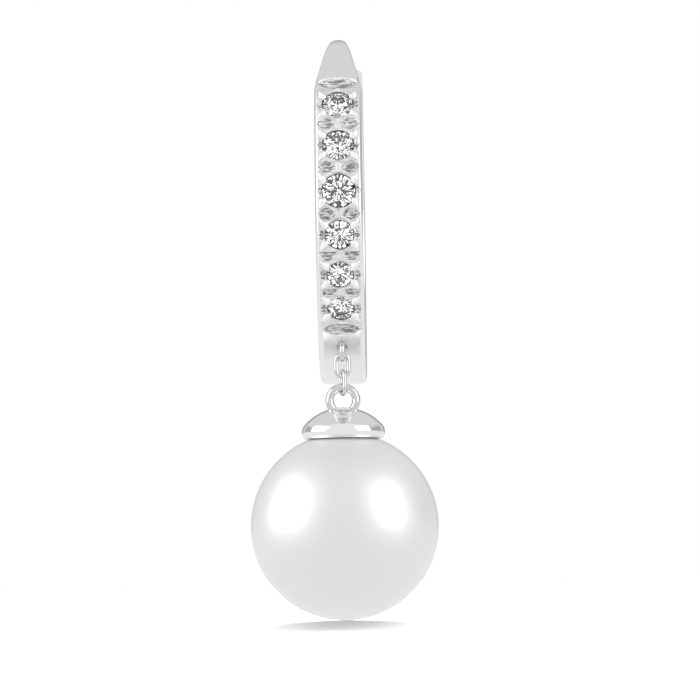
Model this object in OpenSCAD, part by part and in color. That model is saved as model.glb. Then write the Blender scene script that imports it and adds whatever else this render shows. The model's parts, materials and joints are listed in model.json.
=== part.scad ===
// Pearl huggie earring: a hinged hoop with a row of six stones, and a pearl drop on two links.
// Millimetres. The wearer's side is +Y, the stones face -Y, and +Z is up.
// The shapes are drawn round the hoop's centre, then moved so that the origin is the middle of the post.

/* [Hoop] */
// Outer radius of the hoop
hoop_r = 7.58; // [7.4:0.02:7.8]
// Width of the band from side to side
band_w = 2; // [1.9:0.05:2.2]
// Radial thickness of the front half
front_t = 1.35; // [1.3:0.05:1.4]
// Radial thickness of the back half
back_t = 1.15; // [1.1:0.05:1.25]
// Rounding of the band's outer edges
edge_r = 0.25; // [0.15:0.05:0.3]
// Bevel of the band's inner edges
inner_bevel = 0.12; // [0.1:0.01:0.15]
// Where the back half ends at the top, in degrees round from the middle of the front
back_end = 116; // [114:1:118]

/* [Tapered tip] */
// Angle at which the tip's outline is drawn square to the band
tip_at = 60; // [58:1:62]
// Radius of the tip's round nose
nose_r = 0.3; // [0.25:0.01:0.35]
// How far past the tip angle the centre of the nose lies
nose_at = 2.3; // [2.2:0.05:2.4]
// Radius that rounds the nose down to the post, seen from the side
nose_round = 0.5; // [0.4:0.05:0.6]

/* [Ear post] */
// Diameter of the post
post_d = 0.8; // [0.7:0.05:0.9]
// Height of the post above the hoop's centre
post_z = 6.35; // [6.3:0.01:6.4]
// Width of the notch that takes the post
notch_w = 1; // [0.96:0.02:1.1]
// How far the post's end lies inside the notch
post_hold = 0.85; // [0.7:0.05:0.9]

/* [Hinge] */
// Where the hinge sits, in degrees round from the middle of the front
hinge_at = 248; // [246:1:250]
// Radius of the hinge barrels
barrel_r = 0.66; // [0.64:0.01:0.66]
// Diameter of the hinge pin
pin_d = 0.5; // [0.46:0.02:0.52]
// Width of the back half's middle barrel
tongue_w = 0.66; // [0.6:0.02:0.7]
// Running gap round the barrels, which also sets how far the hinge can open
hinge_gap = 0.14; // [0.13:0.01:0.16]

/* [Stones] */
// Depth of the girdles below the band's surface
girdle_depth = 0.16; // [0.14:0.01:0.2]
// Gap between a stone and its seat
seat_gap = 0.02; // [0.02:0.005:0.03]
// Radius of the round graver cuts between the stones
graver_r = 0.23; // [0.2:0.01:0.25]
// Width of the bright rail left along each side
rail_w = 0.13; // [0.1:0.01:0.16]
// Radius of the prongs at the corners of the stones
prong_r = 0.13; // [0.1:0.01:0.14]
// Height of the prongs above the band
prong_h = 0.05; // [0.02:0.01:0.08]

/* [Drop] */
// Where the fixed loop is soldered, in degrees round from the middle of the front
loop_at = -56; // [-58:1:-54]
// Radius of the link wire
link_wire_r = 0.1; // [0.09:0.005:0.11]
// Height of the upper link between its wire centres
upper_link_h = 0.93; // [0.9:0.01:0.96]
// Diameter of the pearl
pearl_d = 8; // [7.6:0.1:8.4]
// Outer radius of the pearl cap
cap_r = 1.77; // [1.7:0.01:1.85]
// Outer radius of the cap's eye
eye_outer_r = 0.745; // [0.72:0.005:0.76]
// Radius of the hole in the cap's eye
eye_hole_r = 0.39; // [0.38:0.005:0.4]

/* [Hidden] */

// Roundness of the turned shapes, the hoop, small cuts and edges, and wires
$fn = 96;
HOOP_FN = 180;
EDGE_FN = 48;
WIRE_FN = 32;
// Small overlap that lets cutters run clean through a face
eps = 0.02;
// Small gap that keeps pieces apart where they rest on each other
rest_gap = 0.02;
// How far cutters reach beyond the metal
reach = 3;
// Height above the hoop's centre where the band's sides give way to the tapered tip
taper_z = 3;

// Stones from the top down
// Columns: angle above the middle of the front, diameter
STONES = [
    [31.6, 1.3],
    [16.2, 1.3],
    [0.8, 1.38],
    [-13.4, 1.18],
    [-26.8, 1.1],
    [-39.3, 1.1]
];
STONE_AT = 0;
STONE_D = 1;

// Outline of the tapered tip
// Columns: distance along the band from the tip angle, half width
TAPER = [
    [-2.7, 1.02],
    [-1.5, 0.79],
    [0, 0.57],
    [nose_at, nose_r]
];

// Proportions of a round brilliant, as shares of its diameter
TABLE_SHARE = 0.28;
STAR_SHARE = 0.375;
CROWN_SHARE = 0.15;
GIRDLE_SHARE = 0.03;
PAVILION_SHARE = 0.43;
LOWER_SHARE = 0.2;
MAINS = 8;
// Turn from a main facet to the one beside it, and half of that
main_step = 360 / MAINS;
half_step = main_step / 2;

// How far the first and last graver cuts lie beyond the end stones, in degrees
top_cut_past = 8.9;
bottom_cut_past = 8.3;
// Half width of the ridge left between a pair of graver cuts
ridge_half = 0.14;
// Height of the graver cuts' axis above the band
graver_lift = 0.02;
// Gap between a prong and the pocket beside it
prong_gap = 0.01;
// Radius of the hole behind a stone, as a share of its diameter
HOLE_SHARE = 0.22;

// Radius of the hinge axis round the hoop's centre
hinge_r = hoop_r - front_t / 2;
// Gap between the hinge pin and the front half that holds it, and the one in the turning barrel
pin_hold_gap = 0.01;
pin_turn_gap = 0.02;
// Inset of the pin's ends from the band's sides
pin_inset = 0.04;
// Side gap of the middle barrel
barrel_side_gap = 0.03;

// Wire and size of the fixed loop
loop_wire_r = 0.11;
loop_r = 0.36;
loop_out = 0.2;
loop_c = [-(hoop_r + loop_out) * cos(loop_at), (hoop_r + loop_out) * sin(loop_at)];

// The drop hangs straight down from the lowest point of the fixed loop
drop_y = loop_c[0];
upper_top_z = loop_c[1] - loop_r + loop_wire_r + link_wire_r + rest_gap;
upper_bottom_z = upper_top_z - upper_link_h;
// Half the spacing between the strands of each link
upper_link_half = 0.27;
lower_link_half = 0.31;
lower_top_z = upper_bottom_z + 2 * link_wire_r + rest_gap;
lower_link_h = 0.99;
lower_bottom_z = lower_top_z - lower_link_h;

// Eye of the cap, hanging on the lower link
eye_wire_r = (eye_outer_r - eye_hole_r) / 2;
eye_r = (eye_outer_r + eye_hole_r) / 2;
eye_z = lower_bottom_z + link_wire_r + rest_gap + eye_wire_r - eye_r;

// Cap and pearl
cap_dome_r = 2.22;
// Height of the eye's centre above the dome, and of the dome above the pearl
eye_above = 0.3;
dome_above = 1.065;
cap_apex_z = eye_z - eye_above;
pearl_r = pearl_d / 2;
pearl_top_z = cap_apex_z - dome_above;
pearl_z = pearl_top_z - pearl_r;
glue_gap = 0.04;
// Height of the rim above the level where it would end in a sharp edge
rim_lift = 0.17;
cap_rim_z = pearl_z + sqrt(pow(pearl_r + glue_gap, 2) - pow(cap_r, 2)) + rim_lift;
// Peg inside the pearl, how far it runs up into the dome, and the room round and below it
peg_r = 0.35;
peg_len = 2.6;
peg_root = 0.3;
peg_gap = 0.03;
peg_end_gap = 0.1;

// The post runs from inside the tapered tip to the notch in the back half's end
// Its free length, where the ear sits, lies between the nose and that end
nose_y = -1.1;
post_start_y = -2.7;
end_face_y = post_z / tan(180 - back_end);
post_end_y = end_face_y + post_hold;
notch_end_gap = 0.1;
notch_floor_gap = 0.06;
post_mid_y = (nose_y + end_face_y) / 2;

GOLD = [0.86, 0.86, 0.87];
STONE_COLOUR = [0.9, 0.95, 1];
PEARL_COLOUR = [0.94, 0.92, 0.92];

// Moves a shape from the hoop's centre to the part's frame
module place() {
    translate([0, -post_mid_y, -post_z]) children();
}

// Turns a shape drawn at the middle of the front, where -Y is outward, to an angle round the hoop
module on_hoop(at) {
    rotate([-at, 0, 0]) children();
}

// Sweeps an outline of radius and width round the hoop between two angles
module round_hoop(from, to) {
    rotate([0, 90, 0])
        rotate_extrude(angle = to - from, start = -(90 + to), $fn = HOOP_FN)
            children();
}

// Cross-section of the band: radius along the first axis, width along the second
module band_section(t) {
    half = band_w / 2;
    inner = hoop_r - t;
    shoulder = hoop_r - edge_r;
    polygon([
        [inner, -half + inner_bevel],
        [inner + inner_bevel, -half],
        [shoulder, -half],
        [shoulder, half],
        [inner + inner_bevel, half],
        [inner, half - inner_bevel]
    ]);
    translate([shoulder - eps, -half + edge_r])
        square([edge_r + eps, band_w - 2 * edge_r]);
    for (side = [-1, 1])
        translate([shoulder, side * (half - edge_r)])
            circle(r = edge_r, $fn = EDGE_FN);
}

// A straight rod across the band at the hinge
module hinge_rod(r, w) {
    on_hoop(hinge_at)
        translate([-w / 2, -hinge_r, 0])
            rotate([0, 90, 0])
                cylinder(r = r, h = w);
}

// Outline of the tapered tip, seen square to the band
module tip_outline() {
    n = len(TAPER);
    right = [for (p = TAPER) [p[1], p[0]]];
    left = [for (i = [n - 1 : -1 : 0]) [-TAPER[i][1], TAPER[i][0]]];
    polygon(concat([[-reach, -reach * 2], [reach, -reach * 2], [reach, TAPER[0][0]]], right, left,
        [[-reach, TAPER[0][0]]]));
    translate([0, nose_at])
        circle(r = nose_r, $fn = EDGE_FN);
}

module tip_block() {
    on_hoop(tip_at)
        rotate([90, 0, 0])
            linear_extrude(height = hoop_r + reach)
                tip_outline();
}

// Rounds the nose's outer corner
module nose_corner() {
    centre_r = hoop_r - nose_round;
    block = 2 * nose_round;
    on_hoop(tip_at + asin((nose_at + nose_r - nose_round) / centre_r))
        difference() {
            translate([-reach, -hoop_r - block, 0])
                cube([2 * reach, block + nose_round, block]);
            translate([-reach - eps, -centre_r, 0])
                rotate([0, 90, 0])
                    cylinder(r = nose_round, h = 2 * (reach + eps));
        }
}

// Seat for one stone: a round pocket, a cone under the girdle and a hole through the band
module stone_seat(d) {
    r = d / 2 + seat_gap;
    deep = PAVILION_SHARE * d + seat_gap;
    translate([0, -(hoop_r - girdle_depth), 0])
        rotate([90, 0, 0]) {
            translate([0, 0, -GIRDLE_SHARE * d])
                cylinder(r = r, h = reach);
            translate([0, 0, -GIRDLE_SHARE * d - deep])
                cylinder(r1 = eps, r2 = r, h = deep + eps);
            translate([0, 0, -reach])
                cylinder(r = d * HOLE_SHARE, h = reach, $fn = EDGE_FN);
        }
}

// Angle half way along the bare metal between one stone and the next
function between(i) =
    let (
        upper = STONES[i],
        lower = STONES[i + 1],
        lean = (lower[STONE_D] - upper[STONE_D]) / 4 / hoop_r * 180 / PI
    )
    (upper[STONE_AT] + lower[STONE_AT]) / 2 + lean;

// A round-bottomed cut along the band's width
module graver_cut(at, from, to) {
    on_hoop(at)
        translate([from, -hoop_r - graver_lift, 0])
            rotate([0, 90, 0])
                cylinder(r = graver_r, h = to - from, $fn = EDGE_FN);
}

module pave_cuts() {
    edge = band_w / 2 - rail_w;
    for (s = STONES)
        on_hoop(s[STONE_AT]) stone_seat(s[STONE_D]);
    for (i = [0 : len(STONES) - 2]) {
        graver_cut(between(i), ridge_half, edge);
        graver_cut(between(i), -edge, -ridge_half);
    }
    graver_cut(STONES[0][STONE_AT] + top_cut_past, -edge, edge);
    graver_cut(STONES[len(STONES) - 1][STONE_AT] - bottom_cut_past, -edge, edge);
}

// Four prongs round one stone, clear of its pocket
module prongs(d) {
    out = d / 2 + seat_gap + prong_r + prong_gap;
    for (turn = [45 : 90 : 315])
        translate([out * cos(turn), -hoop_r - prong_h, out * sin(turn)])
            rotate([-90, 0, 0])
                cylinder(r = prong_r, h = prong_h + girdle_depth, $fn = WIRE_FN);
}

// The small ring soldered low on the front, which the upper link hangs from
module fixed_loop() {
    translate([0, loop_c[0], loop_c[1]])
        rotate([0, 90, 0])
            rotate_extrude()
                translate([loop_r, 0])
                    circle(r = loop_wire_r, $fn = WIRE_FN);
}

module ear_post() {
    translate([0, post_start_y, post_z])
        rotate([-90, 0, 0])
            cylinder(d = post_d, h = post_end_y - post_start_y);
}

module front_band() {
    difference() {
        intersection() {
            round_hoop(hinge_at - 360, 90) band_section(front_t);
            union() {
                tip_block();
                translate([-reach, -hoop_r - reach, -hoop_r - reach])
                    cube([2 * reach, 2 * (hoop_r + reach), hoop_r + reach + taper_z]);
            }
        }
        pave_cuts();
        nose_corner();
    }
    for (s = STONES)
        on_hoop(s[STONE_AT]) prongs(s[STONE_D]);
    hinge_rod(barrel_r, band_w);
}

module front_half() {
    color(GOLD) place() {
        difference() {
            front_band();
            hinge_rod(pin_d / 2 + pin_hold_gap, band_w + reach);
            hinge_rod(barrel_r + hinge_gap, tongue_w + 2 * barrel_side_gap);
        }
        fixed_loop();
        ear_post();
    }
}

// Notch that the post drops into, open at the end and on the outside
module post_notch() {
    low = post_z - post_d / 2 - notch_floor_gap;
    translate([-notch_w / 2, 0, low])
        cube([notch_w, post_end_y + notch_end_gap, hoop_r]);
}

// Room beside the middle barrel for the front half's barrels
module barrel_room() {
    w = (band_w - tongue_w) / 2 + reach;
    for (side = [-1, 1])
        translate([side * (tongue_w + w) / 2, 0, 0])
            hinge_rod(barrel_r + hinge_gap, w);
}

module back_half() {
    color(GOLD) place()
        difference() {
            union() {
                difference() {
                    round_hoop(back_end, hinge_at) band_section(back_t);
                    barrel_room();
                }
                hinge_rod(barrel_r, tongue_w);
            }
            hinge_rod(pin_d / 2 + pin_turn_gap, band_w + reach);
            post_notch();
        }
}

module hinge_pin() {
    color(GOLD) place() hinge_rod(pin_d / 2, band_w - 2 * pin_inset);
}

// Points of a round brilliant, with the top of its girdle at height 0
function ring(r, z, turn, count) =
    [for (i = [0 : count - 1]) [r * cos(turn + i * 360 / count), r * sin(turn + i * 360 / count), z]];

module brilliant(d) {
    girdle = d / 2;
    table = TABLE_SHARE * d;
    star = STAR_SHARE * d;
    lower = LOWER_SHARE * d;
    crown = CROWN_SHARE * d;
    deep = PAVILION_SHARE * d;
    low = -GIRDLE_SHARE * d;
    // The star and lower points lie in the planes of the main facets
    star_z = crown * (girdle - star * cos(half_step)) / (girdle - table);
    lower_z = low - deep * (1 - lower * cos(half_step) / girdle);
    g = 2 * MAINS;
    points = concat(
        ring(table, crown, 0, MAINS),
        ring(star, star_z, half_step, MAINS),
        ring(girdle, 0, 0, g),
        ring(girdle, low, 0, g),
        ring(lower, lower_z, half_step, MAINS),
        [[0, 0, low - deep]]
    );
    s0 = MAINS;
    u0 = s0 + MAINS;
    d0 = u0 + g;
    l0 = d0 + g;
    culet = l0 + MAINS;
    faces = concat(
        [[for (i = [MAINS - 1 : -1 : 0]) i]],
        [for (i = [0 : MAINS - 1]) let (j = (i + 1) % MAINS) [i, j, s0 + i]],
        [for (i = [0 : MAINS - 1]) let (h = (i + MAINS - 1) % MAINS) [s0 + h, i, s0 + i, u0 + 2 * i]],
        [for (i = [0 : MAINS - 1]) [u0 + 2 * i, s0 + i, u0 + 2 * i + 1]],
        [for (i = [0 : MAINS - 1]) [u0 + 2 * i + 1, s0 + i, u0 + (2 * i + 2) % g]],
        [for (i = [0 : g - 1]) let (j = (i + 1) % g) [u0 + i, u0 + j, d0 + j, d0 + i]],
        [for (i = [0 : MAINS - 1]) [d0 + 2 * i, d0 + 2 * i + 1, l0 + i]],
        [for (i = [0 : MAINS - 1]) [d0 + 2 * i + 1, d0 + (2 * i + 2) % g, l0 + i]],
        [for (i = [0 : MAINS - 1])
            let (h = (i + MAINS - 1) % MAINS)
            [culet, l0 + h, d0 + 2 * i, l0 + i]]
    );
    polyhedron(points = points, faces = faces);
}

module set_stone(i) {
    color(STONE_COLOUR) place()
        on_hoop(STONES[i][STONE_AT])
            translate([0, -(hoop_r - girdle_depth), 0])
                rotate([90, 0, 0])
                    brilliant(STONES[i][STONE_D]);
}

module stone_1() { set_stone(0); }
module stone_2() { set_stone(1); }
module stone_3() { set_stone(2); }
module stone_4() { set_stone(3); }
module stone_5() { set_stone(4); }
module stone_6() { set_stone(5); }

// A closed oval link standing in the X-Z plane, between two wire heights
module oval_link(half, top, bottom) {
    for (side = [-1, 1]) {
        z = side > 0 ? top - half : bottom + half;
        translate([0, 0, z])
            rotate([90, 0, 0])
                rotate_extrude(angle = 180, start = side > 0 ? 0 : 180)
                    translate([half, 0])
                        circle(r = link_wire_r, $fn = WIRE_FN);
        translate([side * half, 0, bottom + half])
            cylinder(r = link_wire_r, h = top - bottom - 2 * half, $fn = WIRE_FN);
    }
}

module link_upper() {
    color(GOLD) place()
        translate([0, drop_y, 0])
            oval_link(upper_link_half, upper_top_z, upper_bottom_z);
}

module link_lower() {
    color(GOLD) place()
        translate([0, drop_y, 0])
            rotate([0, 0, 90])
                oval_link(lower_link_half, lower_top_z, lower_bottom_z);
}

module cap_dome() {
    rotate_extrude()
        difference() {
            intersection() {
                translate([0, cap_apex_z - cap_dome_r])
                    circle(r = cap_dome_r);
                translate([0, cap_rim_z])
                    square([cap_r, cap_apex_z - cap_rim_z]);
            }
            translate([0, pearl_z])
                circle(r = pearl_r + glue_gap);
        }
}

module pearl_cap() {
    color(GOLD) place()
        translate([0, drop_y, 0]) {
            cap_dome();
            translate([0, 0, eye_z])
                rotate([90, 0, 0])
                    rotate_extrude()
                        translate([eye_r, 0])
                            circle(r = eye_wire_r, $fn = WIRE_FN);
            translate([0, 0, pearl_top_z - peg_len])
                cylinder(r = peg_r, h = peg_len + peg_root);
        }
}

module pearl() {
    color(PEARL_COLOUR) place()
        translate([0, drop_y, 0])
            difference() {
                translate([0, 0, pearl_z])
                    sphere(r = pearl_r);
                translate([0, 0, pearl_top_z - peg_len - peg_end_gap])
                    cylinder(r = peg_r + peg_gap, h = peg_len + reach);
            }
}

front_half();
back_half();
hinge_pin();
stone_1();
stone_2();
stone_3();
stone_4();
stone_5();
stone_6();
link_upper();
link_lower();
pearl_cap();
pearl();
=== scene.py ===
"""Pearl huggie earring: polished white gold, a row of six round brilliants and a pearl drop.

Metres, in the part's frame: the origin is the middle of the ear post, the stones face -Y, and +Z is up.
Round the hoop, angle 0 is the middle of the front, 90 degrees the top and 180 degrees the back.
"""

import json
import math

import bmesh
import bpy
import numpy as np
from bpy.props import FloatProperty, FloatVectorProperty, PointerProperty
from bpy.types import Operator, Panel, PropertyGroup
from mathutils import Matrix, Vector


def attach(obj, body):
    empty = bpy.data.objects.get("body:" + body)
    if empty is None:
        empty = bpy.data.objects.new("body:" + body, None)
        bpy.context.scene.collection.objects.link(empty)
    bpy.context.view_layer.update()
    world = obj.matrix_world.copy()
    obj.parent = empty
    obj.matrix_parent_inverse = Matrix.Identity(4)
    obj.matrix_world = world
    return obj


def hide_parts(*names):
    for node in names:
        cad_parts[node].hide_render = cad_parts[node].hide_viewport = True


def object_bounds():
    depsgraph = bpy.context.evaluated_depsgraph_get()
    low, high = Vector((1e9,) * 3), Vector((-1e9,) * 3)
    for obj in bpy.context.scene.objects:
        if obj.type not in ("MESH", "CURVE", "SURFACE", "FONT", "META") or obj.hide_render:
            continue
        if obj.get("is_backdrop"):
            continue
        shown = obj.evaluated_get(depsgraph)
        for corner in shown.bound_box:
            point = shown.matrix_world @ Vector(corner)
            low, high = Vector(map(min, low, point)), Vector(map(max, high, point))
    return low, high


bl_info = {
    "name": "Pearl Huggie Earring",
    "version": (1, 0, 0),
    "blender": (4, 5, 0),
    "location": "3D View > Sidebar > Earring",
    "description": "Makes a hinged hoop with a row of brilliants and a hanging pearl",
    "category": "Add Mesh",
}

MM = 0.001

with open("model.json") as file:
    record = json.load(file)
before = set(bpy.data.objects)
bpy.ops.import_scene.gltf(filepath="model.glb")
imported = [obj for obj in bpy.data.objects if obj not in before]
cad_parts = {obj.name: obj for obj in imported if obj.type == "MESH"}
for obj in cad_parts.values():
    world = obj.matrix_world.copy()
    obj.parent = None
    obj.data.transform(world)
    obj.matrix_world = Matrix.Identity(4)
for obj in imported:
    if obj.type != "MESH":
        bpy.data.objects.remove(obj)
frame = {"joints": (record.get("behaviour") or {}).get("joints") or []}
CAD_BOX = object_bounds()
JOINT_AT = {joint["name"]: Vector(joint["pos_m"]) for joint in frame["joints"]}

# Angles round the hoop, in degrees
HINGE_AT = 248
FRONT_START = HINGE_AT - 360
BACK_END = 116
TIP_AT = 60
LOOP_AT = -56

# Stones from the top down: angle in degrees, diameter in millimetres
STONES = ((31.6, 1.3), (16.2, 1.3), (0.8, 1.38), (-13.4, 1.18), (-26.8, 1.1), (-39.3, 1.1))
# Angles of the two full-width cuts that close the row, and the angles where the carved finish ends
ROW_TOP = STONES[0][0] + 8.9
ROW_BOTTOM = STONES[-1][0] - 8.3
CARVED_FROM, CARVED_TO = -51, 43.5
# First gap between two stones whose bowls are flat on top; the ones above are olives
FLAT_TOPPED_FROM = 3

# Sections of the front half: from an angle on, how many degrees apart they stand
ROW_MARGIN = 3
STATIONS = (
    (FRONT_START, 1.2),
    (-63, 0.4),
    (ROW_BOTTOM - ROW_MARGIN, 0.17),
    (ROW_TOP + ROW_MARGIN, 0.8),
    (TIP_AT - 0.4, 0),
)
# Points of a section: across the top, down each edge and side, and across the inside
TOP_POINTS = 86
SIDE_POINTS = 4
INNER_POINTS = 10
BACK_TOP_POINTS = 30
# Sections of the nose and of the back half
NOSE_SECTIONS = 44
BACK_SECTIONS = 160
# The outer edges' roundings are swept this far, in degrees, before the corner's own points begin
EDGE_SWEEP = 50

# Tapered tip: distance along the band from the tip angle and half width, in millimetres
TAPER = ((-2.7, 1.0), (-1.9, 0.89), (-1.0, 0.74), (0.0, 0.6), (1.0, 0.48), (1.7, 0.39))
# Edge rounding of the narrow tip as a share of its half width: along it, and what the nose's end adds
TIP_EDGE = 0.36
NOSE_EDGE_ADDED = 0.26
NOSE_INNER_EDGE = 0.4
# The nose stops just short of its point: the least square of its width, and its share of the reach
NOSE_LEAST = 0.004
NOSE_REACHED = 0.9996

# Small cuts of the row: half height, half length and depth, in metres
SHOULDER = (0.1 * MM, 0.4 * MM, 0.09 * MM)
SPLIT = (0.03 * MM, 0.3 * MM, 0.05 * MM)
LOOP_DISH = (0.6 * MM, 0.27 * MM, 0.09 * MM)
# Seats: ledge under the girdle as a share of the diameter, slope of the seat and of the wall round it
LEDGE = 0.03
SEAT_SLOPE = 0.86
WALL_SLOPE = 6
# Slope of the channel's sides and of a flat-topped bowl's upper wall
CUT_SLOPE = 3
# Fullness of the outline of the full-width end cuts; 2 is an olive
END_FULLNESS = 3.0
# A flat-topped bowl is an olive under a wall. In half heights of the bowl: the olive's middle, its
# half height, and the wall's place
BOWL_MIDDLE = 0.5
BOWL_OLIVE = 1.4
BOWL_WALL = 0.6
NOTCH_OVERLAP = 0.05 * MM
CARVED_EDGE = 0.01 * MM
# Holes behind the stones: radius as a share of the diameter, and depths below the band
HOLE_SHARE = 0.22
HOLE_DEPTHS = (2 * MM, 0.5 * MM)

# Stretch of the scratches' noise, which draws them out across the band
SCRATCH_STRETCH = (1.0, 0.12, 0.12)
# The graver cuts' mask fades in over the first two depths below the band's surface, and out over the
# next two. Sideways it fades between two places, and past the row's ends over an added slope
MASK_TOP = (0.03 * MM, 0.11 * MM)
MASK_FLOOR = (1.0 * MM, 0.9 * MM)
MASK_SIDE = (0.9 * MM, 0.86 * MM)
MASK_END = 0.02
# Streaks in the cuts: stretch and scale of the noise, the values between which their painted shade grows and
# how far, the painted shade of the cuts between them, and the depth of their bump
STREAK_STRETCH = (0.15, 1, 1)
STREAK_SCALE = 13000
STREAK_PAINTED_SHADE = (0.46, 0.54, 0.75)
CUT_PAINTED_SHADE = 0.12
STREAK_DEPTH = 0.06 * MM

# Where a prong holds its stone, in degrees from the band's width
PRONG_HOLD = 27
# Share of a prong's width at its middle, and what that share loses towards its tip
PRONG_MIDDLE = 0.95
PRONG_TAPER = 0.35
PRONG_POINTS = 19
PRONG_TURNS = 28
# Room that a prong's heel leaves to the rail, and how far it lies above or below the stone
HEEL_ROOM = 0.04 * MM
HEEL_PAST = 0.1 * MM

# Bevels: cutters and sharp ends, barrels, the middle barrel, the post, and the hinge pin
SHARP = 0.002 * MM
BARREL_BEVEL = 0.04 * MM
TONGUE_BEVEL = 0.03 * MM
POST_BEVEL = 0.12 * MM
PIN_BEVEL = 0.05 * MM
# Gaps: the pin in the front's and in the back's bore, the pin's ends, and the post in its notch
FRONT_BORE_GAP = 0.01 * MM
BACK_BORE_GAP = 0.02 * MM
PIN_END_GAP = 0.04 * MM
NOTCH_GAP = 0.06 * MM
NOTCH_PAST_POST = 0.1 * MM
# How far the cutters beside the middle barrel reach past the band's sides
PAST_SIDES = 0.2 * MM

# Turn of the lower link about the vertical, from the band's width, in degrees
LOWER_LINK_TURN = 107
# Points round a rod and over its bevels, and along and round drawn wire; the cap's eye has more
ROD_TURNS = 96
BEVEL_POINTS = 6
WIRE_POINTS = (96, 40)
EYE_POINTS = (128, 48)
# Points of the cap's outline and of the pearl's, and turns of both
HOLLOW_POINTS = 24
RIM_POINTS = 8
WALL_POINTS = 24
DOME_POINTS = 60
PEARL_POINTS = 120
CAP_TURNS = 160
PEARL_TURNS = 192

# Where the surround darkens, as the Y of its direction: behind the earring, and round the camera
BACK_SHADE = (-0.4, -0.1)
FAR_SHADE = (0.8, 0.98)
CAMERA_SHADE = (-0.955, -0.98)
# Dark cards all round beside the earring, as the Y and the height of their direction
CARDS_START = (-0.2, 0.0)
CARDS_END = (0.8, 0.6)
CARDS_TOP = (0.55, 0.35)
# Noise values between which a gap between the lights darkens
GAP_SHADE = (0.5, 0.53)

# Softboxes: name, azimuth in degrees and width in metres; all have the same lift, distance and height
SOFTBOXES = (("left", -75, 0.38), ("right", 61, 0.27))
SOFTBOX_LIFT = 13
SOFTBOX_AWAY = 0.4
SOFTBOX_HEIGHT = 0.48
# The floor's own light from behind: height and softness in degrees
FLOOR_LIGHT_LIFT = 4
FLOOR_LIGHT_SOFTNESS = 22
FLOOR_HALF = 3.0

# Camera turns in degrees that match the photograph's view, and its focal length in frame pixels
CAMERA_PITCH = 3.8524
CAMERA_YAW = -0.6151
CAMERA_ROLL = -0.9
FOCAL_PIXELS = 3414.4
PHOTO_PIXELS = 700
SENSOR = 36
CLIP = (0.01, 20)


def size(label, text, value):
    """A length property in metres, given in millimetres."""
    return FloatProperty(name=label, description=text, default=value * MM, unit="LENGTH", precision=6)


def share(label, text, value, top=1.0):
    """A plain number from 0 to a top value."""
    return FloatProperty(name=label, description=text, default=value, min=0, max=top)


def colour(label, text, value):
    """A colour property."""
    return FloatVectorProperty(
        name=label, description=text, default=value, size=3, min=0, max=1, subtype="COLOR"
    )


class HoopSizes(PropertyGroup):
    """Sizes of the hoop, its hinge and its post."""

    radius: size("Hoop radius", "Outer radius of the hoop", 7.58)
    width: size("Band width", "Width of the band", 2.0)
    front_thickness: size("Front thickness", "Radial thickness of the front half", 1.35)
    back_thickness: size("Back thickness", "Radial thickness of the back half", 1.15)
    edge_radius: size("Outer edge radius", "Rounding of the outer edges", 0.25)
    inner_edge_radius: size("Inner edge radius", "Rounding of the inner edges", 0.12)
    crown: size("Crown", "How far the band's middle stands above its edges", 0.014)
    nose_half: size("Nose width", "Half width of the tapered tip's rounded nose", 0.39)
    nose_long: size("Nose length", "Length of the tapered tip's rounded nose", 0.95)
    nose_at: size("Nose distance", "Distance of the nose's start from the tip angle", 1.7)
    nose_round: size("Nose rounding", "Radius that rounds the nose, seen from the side", 0.22)
    barrel_radius: size("Barrel radius", "Radius of the hinge barrels", 0.66)
    barrel_room: size("Barrel room", "Gap round the hinge barrels", 0.14)
    tongue_width: size("Middle barrel width", "Width of the middle barrel", 0.66)
    side_gap: size("Side gap", "Gap beside the middle barrel", 0.03)
    pin_radius: size("Pin radius", "Radius of the hinge pin", 0.25)
    post_radius: size("Post radius", "Radius of the ear post", 0.4)
    post_start: size("Post start", "Where the post starts inside the tip, from the hoop's middle", -2.7)
    post_end: size("Post end", "Where the post ends inside the notch, from the hoop's middle", 3.947)
    post_height: size("Post height", "Height of the post above the hoop's middle", 6.35)
    notch_width: size("Notch width", "Width of the notch for the post", 1.0)


class SettingSizes(PropertyGroup):
    """Sizes of the stone row's cuts and prongs."""

    girdle_depth: size("Girdle depth", "Depth of the girdles below the band", 0.16)
    seat_gap: size("Seat gap", "Gap between a stone and its seat", 0.02)
    rail_width: size("Rail width", "Width of the bright rail along each side", 0.13)
    channel_depth: size("Channel", "Depth of the row between its rails", 0.06)
    ridge_half: size("Ridge", "Half width of the ridge between two scoops", 0.1)
    scoop_half: size("Scoop height", "Half height of the scoops between the stones", 0.34)
    scoop_long: size("Scoop length", "Half length of the scoops between the stones", 0.43)
    scoop_out: size("Scoop place", "Distance of the scoops from the band's middle", 0.52)
    scoop_depth: size("Scoop depth", "Depth of the scoops between the stones", 0.24)
    end_half: size("End cut", "Half height of the cuts that close the row", 0.34)
    notch_half: size("Side notch", "Half height of the notches beside the girdles", 0.33)
    notch_depth: size("Side notch depth", "Depth of the notches beside the girdles", 0.14)
    shoulder_out: size("Shoulder cuts", "Distance of the small cuts above and below each stone", 0.05)
    prong_half: size("Prong width", "Half width of a prong", 0.15)
    prong_deep: size("Prong depth", "Half height of a prong's body", 0.15)
    prong_rise: size("Prong rise", "How far a prong stands above the band", 0.05)
    prong_grip: size("Prong grip", "How far a prong's tip reaches over the stone", 0.05)
    cut_edge: size("Cut edge", "Rounding of the cut edges", 0.022)


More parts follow.
